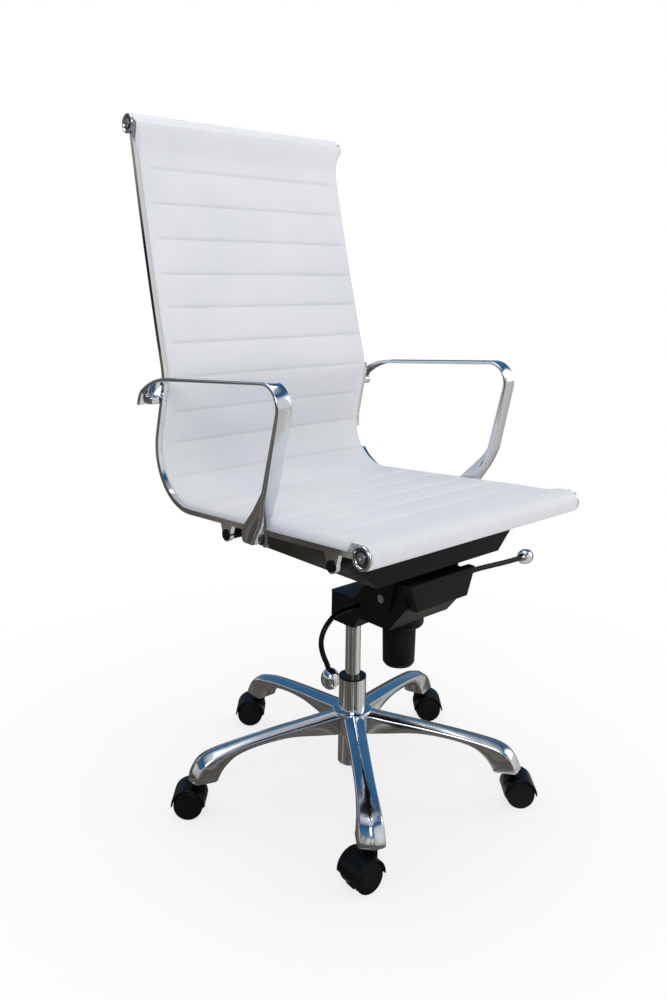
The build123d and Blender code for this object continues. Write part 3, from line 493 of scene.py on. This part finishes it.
CASTER_RADIUS = 285.0                # column's axis to a caster's
STEM_BORE, COLUMN_BORE = 7.2, 25.1   # radii
HUB_MIDDLE = (0.0, 0.0, 119.0)
HUB_RADIUS, HUB_HEIGHT = 36.0, 42.0


def make_leg():
    """One leg, heading along +y, bored for its caster's stem."""
    rings = []
    for k in range(LEG_RINGS):
        t = k / (LEG_RINGS - 1) * (len(LEG_STATIONS) - 1)
        top_r, top_z, low_r, low_z, half, ridge, corner = between(LEG_STATIONS, t)
        tall = math.hypot(top_r - low_r, top_z - low_z)
        tilt = math.atan2(top_z - low_z, top_r - low_r)
        middle = (tall - ridge) / 2 / tall
        centre = (0.0, low_r + (top_r - low_r) * middle, low_z + (top_z - low_z) * middle)
        rings.append((centre, tilt, 2 * half, tall, corner, ridge))
    return bored(loft("leg", rings), (0.0, CASTER_RADIUS, 76.0), STEM_BORE, 35.0)


def make_base():
    """Five legs and the hub, which is bored to fit the column."""
    first = make_leg()
    legs = [placed_copy(first, turn=math.radians(h - 90.0)) for h in LEG_HEADINGS]
    bpy.data.objects.remove(first)
    hub = rounded(barrel(HUB_MIDDLE, HUB_RADIUS, HUB_HEIGHT, 96), 4.0)
    return joined("cast_star_base", legs + [bored(hub, HUB_MIDDLE, COLUMN_BORE, 80.0)])


base = make_base()
fit(base, "base", "star_base", polished_base, 50.0)


# ---------------------------------------------------------------------------
# Sling: one padded strip from the front roll over the seat and up the back to the top roll
# ---------------------------------------------------------------------------

# A side line of the chair: the seat's slope, the corner's (y, z, radius) and turn, the straight of the lower
# back, the lumbar bend's radius and turn, and the radius of the upper back.
FACE_LINE = (4.0, (165.0, 615.0, 85.0), 106.4, 85.0, (100.0, 28.2), 6690.0)
RAIL_LINE = (3.15, (157.4, 617.2, 102.0), 105.55, 81.2, (90.0, 28.2), 6700.0)
FRONT_TUBE = (-279.0, 540.0)         # y, z
TOP_TUBE = (352.0, 1199.0)
SEAT_START, BACK_END = -424.0, 738.0
SEAMS = (-359, -291, -225, -152, -76, 4, 82, 143, 203, 268, 331, 396, 459, 525, 591, 657)
ROWS_PER_CHANNEL = 15
ROLL_ROWS = 26
BLEND = 62.0                         # length over which the face leaves a roll
PAD_THICKNESS, ROLL_THICKNESS = 11.0, 4.6
FACE_LEVEL = 2.2                     # the face line's height over the seams
SEAM_DIP = 1.3
# half widths where the side's curve starts and ends, of the tongue over the rail, and of the rolls
EDGE_START, SLING_HALF, TONGUE_HALF, ROLL_HALF = 222.0, 243.9, 247.9, 251.4
SIDE_ROUNDNESS = 3.4
SIDE_LINES = (222.0, 226.0, 229.5, 232.0, 234.0, 236.0, 237.6, 239.0, 240.4, 241.6, 242.5, 243.2, 243.6,
              SLING_HALF, 245.5, TONGUE_HALF)


def side_line(s, slope, corner, corner_turn, lower_back, lumbar, upper_back):
    """Point (y, z) and heading on a side line of the chair, s mm from the low point of its seat."""
    heading = -math.radians(slope)
    cy, cz, radius = corner
    y, z = cy + radius * math.sin(heading), cz - radius * math.cos(heading)
    if s < 0:
        return y + s * math.cos(heading), z + s * math.sin(heading), heading
    runs = ((radius * math.radians(corner_turn), radius), (lower_back, None),
            (lumbar[0] * math.radians(lumbar[1]), -lumbar[0]), (1000.0, upper_back))
    return walk(s, (y, z), heading, runs)


def rail_depth(s):
    """How far the rail's middle line lies under the padded face."""
    y, z, h = side_line(s, *FACE_LINE)
    low, high = s - 90.0, s + 90.0
    for _ in range(24):
        middle = (low + high) / 2
        ry, rz, _h = side_line(middle, *RAIL_LINE)
        if (ry - y) * math.cos(h) + (rz - z) * math.sin(h) < 0:
            low = middle
        else:
            high = middle
    return (y - ry) * -math.sin(h) + (z - rz) * math.cos(h)


def roll_rows(tube, outer, start, turn, steps):
    """Rows round a tube, with no place on the face line: (None, face point, inner point)."""
    rows = []
    for k in steps:
        a = math.radians(start + turn * k / ROLL_ROWS)
        face, inner = ((tube[0] + r * math.cos(a), tube[1] + r * math.sin(a)) for r in (outer, 14.5))
        rows.append((None, face, inner))
    return rows


def sling_rows():
    """Rows of (s, face point, inner point) along the whole strip, in mm; closer together near each seam."""
    marks = [SEAT_START, *SEAMS, BACK_END]
    along = []
    for a, b in zip(marks, marks[1:]):
        for k in range(ROWS_PER_CHANNEL):
            u = k / ROWS_PER_CHANNEL
            u = 0.45 * u + 0.55 * (1 - math.cos(math.pi * u)) / 2
            along.append(a + (b - a) * u)
    along.append(BACK_END)
    rows = roll_rows(FRONT_TUBE, 19.0, 292.0, -197.5, range(ROLL_ROWS))
    for s in along:
        y, z, h = side_line(s, *FACE_LINE)
        n = (-math.sin(h), math.cos(h))
        at_front = ease((SEAT_START + BLEND - s) / BLEND)
        at_top = ease((s - BACK_END + BLEND) / BLEND)
        lift = -1.7 * at_front + 12.6 * at_top
        thick = PAD_THICKNESS + (ROLL_THICKNESS - PAD_THICKNESS) * max(at_front, at_top)
        outer = (y + n[0] * lift, z + n[1] * lift)
        inner = (outer[0] - n[0] * thick, outer[1] - n[1] * thick)
        rows.append((s, outer, inner))
    return rows + roll_rows(TOP_TUBE, 18.6, 166.0, -205.0, range(1, ROLL_ROWS + 1))


def swell(s, x):
    """How far the face stands over its seams, in mm: a soft crown in each channel, a little uneven."""
    if s is None:
        return FACE_LEVEL
    marks = [SEAT_START - 90.0, *SEAMS, BACK_END + 90.0]
    for a, b in zip(marks, marks[1:]):
        if a <= s <= b:
            u = (s - a) / (b - a)
            reach = min(u, 1 - u) * (b - a)
            crown = 1 - math.exp(-reach / 7.5)
            round_top = (4 * u * (1 - u)) ** 0.55
            uneven = noise.noise(Vector((x * 0.011, s * 0.006, 3.1))) * 0.5
            return (3.1 + uneven) * (0.45 * crown + 0.55 * round_top)
    return 0.0


def side_section(x, depth, thick):
    """Face and underside at x from the middle, as depths under the face; the side wraps over the rail."""
    t = min(1.0, max(0.0, (x - EDGE_START) / (SLING_HALF - EDGE_START)))
    top = (depth - 1.6) * (1 - (1 - t ** SIDE_ROUNDNESS) ** (1 / SIDE_ROUNDNESS))
    hem = ease((x - 231.0) / 8.0)
    return top, thick + (depth + 1.6 - thick) * hem


def sling_points(row, across):
    """Face and underside points of one row, in metres."""
    s, outer, inner = row
    dy, dz = outer[0] - inner[0], outer[1] - inner[1]
    thick = math.hypot(dy, dz)
    n = (dy / thick, dz / thick)
    in_roll, depth, seam = 1.0, 0.0, False
    if s is not None:
        in_roll = max(ease((SEAT_START + 26.0 - s) / 20.0), ease((s - BACK_END + 26.0) / 20.0))
        depth = rail_depth(min(max(s, SEAT_START + 20), BACK_END - 20))
        seam = min(abs(s - m) for m in SEAMS) < 0.9
    points = []
    for x in across:
        side = abs(x)
        t = min(1.0, max(0.0, (side - 206.0) / 30.0))
        rise = swell(s, x) - FACE_LEVEL - (SEAM_DIP if seam else 0.0)
        rise *= 1 - t * t * 0.85 * (1 - in_roll)
        if 233.0 < side < 235.0 and s is not None:
            rise -= 0.5 * (1 - in_roll)      # stitch line along the side
        over, under = side_section(side, depth, thick)
        soft = 0.5 * min(1.0, max(0.0, (side - 238.0) / 10.0)) ** 2
        top = rise - over * (1 - in_roll) - soft * in_roll
        low = under * (1 - in_roll) + thick * in_roll + 0.35 * rise * (1 - t)
        px = x * (1 + (ROLL_HALF / TONGUE_HALF - 1) * in_roll)
        if abs(px) > 242.4:
            low += (1.5 - low) * in_roll     # the lip that closes over the rail's end
        points.append((px * MM, (outer[0] + n[0] * top) * MM, (outer[1] + n[1] * top) * MM))
        points.append((px * MM, (outer[0] - n[0] * low) * MM, (outer[1] - n[1] * low) * MM))
    return points


def make_sling():
    """Closed padded strip: face, underside, two side walls and two ends."""
    rows = sling_rows()
    middle = [-218.0 + 436.0 * i / 60 for i in range(61)]
    across = [-x for x in reversed(SIDE_LINES)] + middle + list(SIDE_LINES)
    count, last = len(across), len(rows) - 1
    verts, faces = [], []
    for row in rows:
        verts += sling_points(row, across)
    for r in range(last):
        for c in range(count - 1):
            a = (r * count + c) * 2
            b, d = a + 2, a + count * 2
            e = d + 2
            faces.append((a, b, e, d))
            faces.append((a + 1, d + 1, e + 1, b + 1))
        for c in (0, count - 1):
            a = (r * count + c) * 2
            d = a + count * 2
            faces.append((a, d, d + 1, a + 1) if c == 0 else (a, a + 1, d + 1, d))
    for c in range(count - 1):
        a = c * 2
        faces.append((a, a + 1, a + 3, a + 2))
        a = (last * count + c) * 2
        faces.append((a, a + 2, a + 3, a + 1))
    mesh = bpy.data.meshes.new("padded_sling")
    mesh.from_pydata(verts, [], faces)
    mesh.validate()
    mesh.shade_smooth()
    piece = bpy.data.objects.new("padded_sling", mesh)
    bpy.context.scene.collection.objects.link(piece)
    return piece


sling = make_sling()
dress(sling, sling_white)
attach(sling, "seat")
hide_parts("sling")


# ---------------------------------------------------------------------------
# Tube ends: thin bright rims round sunk discs in darker steel, which is partly the discs' own tone and
# partly painted shade for the recess
# ---------------------------------------------------------------------------

CAP_X = -252.0                       # rail's end, where a cap's flange sits
# (distance outward, radius): plug, flange, rounded rim, step down to the sunk disc
CAP_PROFILE = ((-18.0, 0.0), (-18.0, 11.5), (0.0, 11.9), (0.0, 17.6), (0.9, 18.4), (3.0, 18.4), (4.2, 17.6),
               (4.5, 16.4), (4.1, 15.2), (2.4, 14.6), (1.6, 14.0), (1.6, 8.4), (1.6, 0.0))
DISC_RADIUS = 14.2


def make_rim(centre):
    """A right-hand cap: its profile is drawn out of one vertex and spun about the tube's axis."""
    bpy.ops.object.select_all(action="DESELECT")
    bpy.ops.mesh.primitive_circle_add(vertices=3, radius=1.0)
    piece = bpy.context.object
    bpy.ops.object.mode_set(mode="EDIT")
    bpy.ops.mesh.select_all(action="SELECT")
    bpy.ops.mesh.merge(type="CENTER")
    out, radius = CAP_PROFILE[0]
    bpy.ops.transform.translate(value=(-out * MM, 0, radius * MM))
    for (out, radius), (next_out, next_radius) in zip(CAP_PROFILE, CAP_PROFILE[1:]):
        step = ((out - next_out) * MM, 0, (next_radius - radius) * MM)
        bpy.ops.mesh.extrude_region_move(TRANSFORM_OT_translate={"value": step})
    bpy.ops.mesh.select_all(action="SELECT")
    bpy.ops.mesh.spin(steps=72, angle=2 * math.pi, center=(0, 0, 0), axis=(1, 0, 0))
    bpy.ops.mesh.select_all(action="SELECT")
    bpy.ops.mesh.remove_doubles(threshold=0.00001)
    bpy.ops.mesh.normals_make_consistent(inside=False)
    bpy.ops.object.mode_set(mode="OBJECT")
    piece.location = [c * MM for c in centre]
    bpy.ops.object.transform_apply(location=True, rotation=True, scale=True)
    return piece


def make_caps():
    """Four caps in one piece; the sunk discs get the darker oiled steel, which also paints the shade in
    their recess.
    """
    rims = []
    for y, z in (FRONT_TUBE, TOP_TUBE):
        one = make_rim((CAP_X, y, z))
        rims += [one, mirrored_copy(one, "rim")]
    caps = joined("end_cap_rims", rims)
    fit(caps, "seat", "end_caps", chrome_plate, 50.0)
    # painted shade: the darker steel on the sunk discs also stands in for the shade in the recess
    caps.data.materials.append(spring_steel)
    for face in caps.data.polygons:
        middle = face.center
        reach = min(math.hypot(middle.y - y * MM, middle.z - z * MM) for y, z in (FRONT_TUBE, TOP_TUBE))
        if reach < DISC_RADIUS * MM and abs(middle.x) > (0.5 - CAP_X) * MM:
            face.material_index = 1
    dress(nodes["cap_screws"], zinc_steel)


make_caps()


# ---------------------------------------------------------------------------
# Stage, lights and camera
# ---------------------------------------------------------------------------

SUNNY_WALL = (0.67, -0.74, 0.0)      # toward the bright side of the mirrored room
BLUE_WALL = (0.69, 0.72, 0.0)


def make_stage():
    """Paper floor that fades into the white background; to glossy rays it glows with a painted reflection, a
    dull warm ground in dark and pale streaks, which bright metal mirrors.
    """
    mat, tree = start_material("studio_floor_paper")
    at = place(tree)
    mottle = node(tree, "ShaderNodeTexNoise", Vector=at, Scale=1.4, Detail=2.0).outputs[0]
    tint = colour_mix(tree, mottle, "F6F6F6", "FAFAFA")
    paper = node(tree, "ShaderNodeBsdfPrincipled", Base_Color=tint, Roughness=0.9)
    white = node(tree, "ShaderNodeEmission", Color=linear("FFFFFF"), Strength=1.0)
    away = node(tree, "ShaderNodeVectorMath", {"operation": "LENGTH"}, i0=at).outputs["Value"]
    fade = ramp(tree, away, 0.25, 1.1, 0.74, 1.0)
    seen = node(tree, "ShaderNodeMixShader", i0=fade, i1=paper.outputs[0], i2=white.outputs[0])
    # painted reflection: to glossy rays the floor glows in dark and pale warm streaks fanning out from the
    # column, paler toward the bright side
    spoke = node(tree, "ShaderNodeVectorMath", {"operation": "NORMALIZE"}, i0=at).outputs[0]
    rays = node(tree, "ShaderNodeTexNoise", Vector=spoke, Scale=3.4, Detail=3.0, Roughness=0.6).outputs[0]
    painted_streaks = node(tree, "ShaderNodeValToRGB", Fac=rays)
    set_stops(painted_streaks, (
        (0.30, "2B2824"), (0.42, "5F5952"), (0.50, "80796F"), (0.57, "4A453F"), (0.64, "EFEAE0"),
    ))
    sunny = node(tree, "ShaderNodeVectorMath", {"operation": "DOT_PRODUCT"}, i0=spoke, i1=SUNNY_WALL)
    share = ramp(tree, sunny.outputs["Value"], 0.72, 0.9, 0.0, 0.75)
    painted_reflection = colour_mix(tree, share, painted_streaks.outputs[0], "F2EEE6")
    ground = node(tree, "ShaderNodeEmission", Color=painted_reflection, Strength=0.85)
    path = node(tree, "ShaderNodeLightPath").outputs["Is Glossy Ray"]
    mix = node(tree, "ShaderNodeMixShader", i0=path, i1=seen.outputs[0], i2=ground.outputs[0])
    finish_material(mat, tree, mix)
    bpy.ops.mesh.primitive_circle_add(vertices=96, radius=9.0, fill_type="NGON", location=(0, 0, 0))
    floor = bpy.context.object
    floor.name = "studio_floor"
    floor.data.materials.append(mat)


def make_world():
    """Neutral light on everything; bright metal mirrors a blue sky over pale and dark walls."""
    world = bpy.data.worlds.new("studio")
    bpy.context.scene.world = world
    world.use_nodes = True
    tree = world.node_tree
    tree.nodes.clear()
    up = node(tree, "ShaderNodeTexCoord").outputs["Generated"]
    height = node(tree, "ShaderNodeSeparateXYZ", Vector=up).outputs[2]
    walls = node(tree, "ShaderNodeValToRGB", Fac=ramp(tree, height, -0.2, 1.0, 0.0, 1.0))
    set_stops(walls, (
        (0.0, "6E675F"), (0.12, "3A3835"), (0.19, "191817"), (0.26, "C9C4BC"),
        (0.36, "E9E7E2"), (0.43, "F6F5F2"), (0.48, "5C86A8"), (0.56, "3F759F"),
        (0.78, "29577F"), (0.87, "AEB6BD"), (0.92, "E6E8EA"), (1.0, "C8CBCE"),
    ))
    # dark columns between pale walls, up to the sky
    tall = node(tree, "ShaderNodeVectorMath", {"operation": "MULTIPLY"}, i0=up, i1=(1.0, 1.0, 0.12))
    columns = node(tree, "ShaderNodeTexNoise", Vector=tall.outputs[0], Scale=3.6, Detail=2.0, Roughness=0.6)
    shade = ramp(tree, columns.outputs[0], 0.50, 0.60, 0.0, 0.88)
    dark = colour_mix(tree, shade, walls.outputs[0], "1E1C1A")
    room = colour_mix(tree, ramp(tree, height, 0.30, 0.55, 1.0, 0.0), walls.outputs[0], dark)
    # a blue wall behind the chair and a white one in front of it
    flat = node(tree, "ShaderNodeVectorMath", {"operation": "MULTIPLY"}, i0=up, i1=(1.0, 1.0, 0.0))
    flat = node(tree, "ShaderNodeVectorMath", {"operation": "NORMALIZE"}, i0=flat.outputs[0]).outputs[0]
    sky = colour_mix(tree, ramp(tree, height, 0.0, 0.3, 0.0, 1.0), "6F93AE", "3A6E98")
    for way, colour, edge, low, high, share in ((BLUE_WALL, sky, 0.72, 0.02, 0.06, 0.9),
                                                (SUNNY_WALL, "F1EFEA", 0.70, -0.12, -0.04, 0.85)):
        toward = node(tree, "ShaderNodeVectorMath", {"operation": "DOT_PRODUCT"}, i0=flat, i1=way)
        sector = ramp(tree, toward.outputs["Value"], edge, edge + 0.12, 0.0, share)
        over = ramp(tree, height, low, high, 0.0, 1.0)
        under = ramp(tree, height, 0.52, 0.66, 1.0, 0.0)
        part = node(tree, "ShaderNodeMath", {"operation": "MULTIPLY"}, i0=sector, i1=over).outputs[0]
        part = node(tree, "ShaderNodeMath", {"operation": "MULTIPLY"}, i0=part, i1=under).outputs[0]
        room = colour_mix(tree, part, room, colour)
    mirrored = node(tree, "ShaderNodeBackground", Color=room, Strength=1.0)
    even = node(tree, "ShaderNodeBackground", Color=linear("F3F4F6"), Strength=0.62)
    backdrop = node(tree, "ShaderNodeBackground", Color=linear("FFFFFF"), Strength=1.0)
    path = node(tree, "ShaderNodeLightPath")
    light = node(tree, "ShaderNodeMixShader", i0=path.outputs["Is Glossy Ray"], i1=even.outputs[0],
                 i2=mirrored.outputs[0])
    mix = node(tree, "ShaderNodeMixShader", i0=path.outputs["Is Camera Ray"], i1=light.outputs[0],
               i2=backdrop.outputs[0])
    node(tree, "ShaderNodeOutputWorld", Surface=mix.outputs[0])


def softbox(name, spot, aim, size, power):
    """A rectangular area light at a spot, turned towards its aim."""
    light = bpy.data.lights.new(name, "AREA")
    light.shape = "RECTANGLE"
    light.size, light.size_y = size
    light.energy = power
    lamp = bpy.data.objects.new(name, light)
    bpy.context.scene.collection.objects.link(lamp)
    lamp.location = spot
    lamp.rotation_euler = (Vector(aim) - Vector(spot)).to_track_quat("-Z", "Y").to_euler()


CAMERA_AT = (-1.11796, -1.16406, 0.93785)
CAMERA_AZIMUTH, CAMERA_ELEVATION, CAMERA_ROLL = -0.73857, 0.091362, 0.013772
CAMERA_LENS = 32.945
CAMERA_SHIFT = -0.1465


def make_camera():
    """A little under the top of the back, to the right of the sitter's front."""
    camera = bpy.data.objects.new("camera", bpy.data.cameras.new("camera"))
    bpy.context.scene.collection.objects.link(camera)
    level = math.cos(CAMERA_ELEVATION)
    back = Vector((math.sin(CAMERA_AZIMUTH) * level, -math.cos(CAMERA_AZIMUTH) * level,
                   math.sin(CAMERA_ELEVATION)))
    right = (-back).cross(Vector((0, 0, 1))).normalized()
    up = right.cross(-back)
    across = right * math.cos(CAMERA_ROLL) + up * math.sin(CAMERA_ROLL)
    upward = up * math.cos(CAMERA_ROLL) - right * math.sin(CAMERA_ROLL)
    turn = Matrix((across, upward, back)).transposed()
    camera.matrix_world = Matrix.Translation(CAMERA_AT) @ turn.to_4x4()
    camera.data.lens = CAMERA_LENS
    camera.data.shift_y = CAMERA_SHIFT
    camera.data.clip_end = 100.0
    bpy.context.scene.camera = camera


make_stage()
make_world()
softbox("key", (-2.4, -2.6, 2.8), (0, 0, 0.6), (1.5, 1.5), 42)
softbox("fill", (2.8, -1.6, 1.8), (0, 0, 0.6), (1.4, 2.0), 16)
softbox("top", (0.2, 0.3, 3.2), (0, 0, 0.5), (2.2, 2.2), 26)
make_camera()
bpy.context.scene.view_settings.view_transform = "Standard"
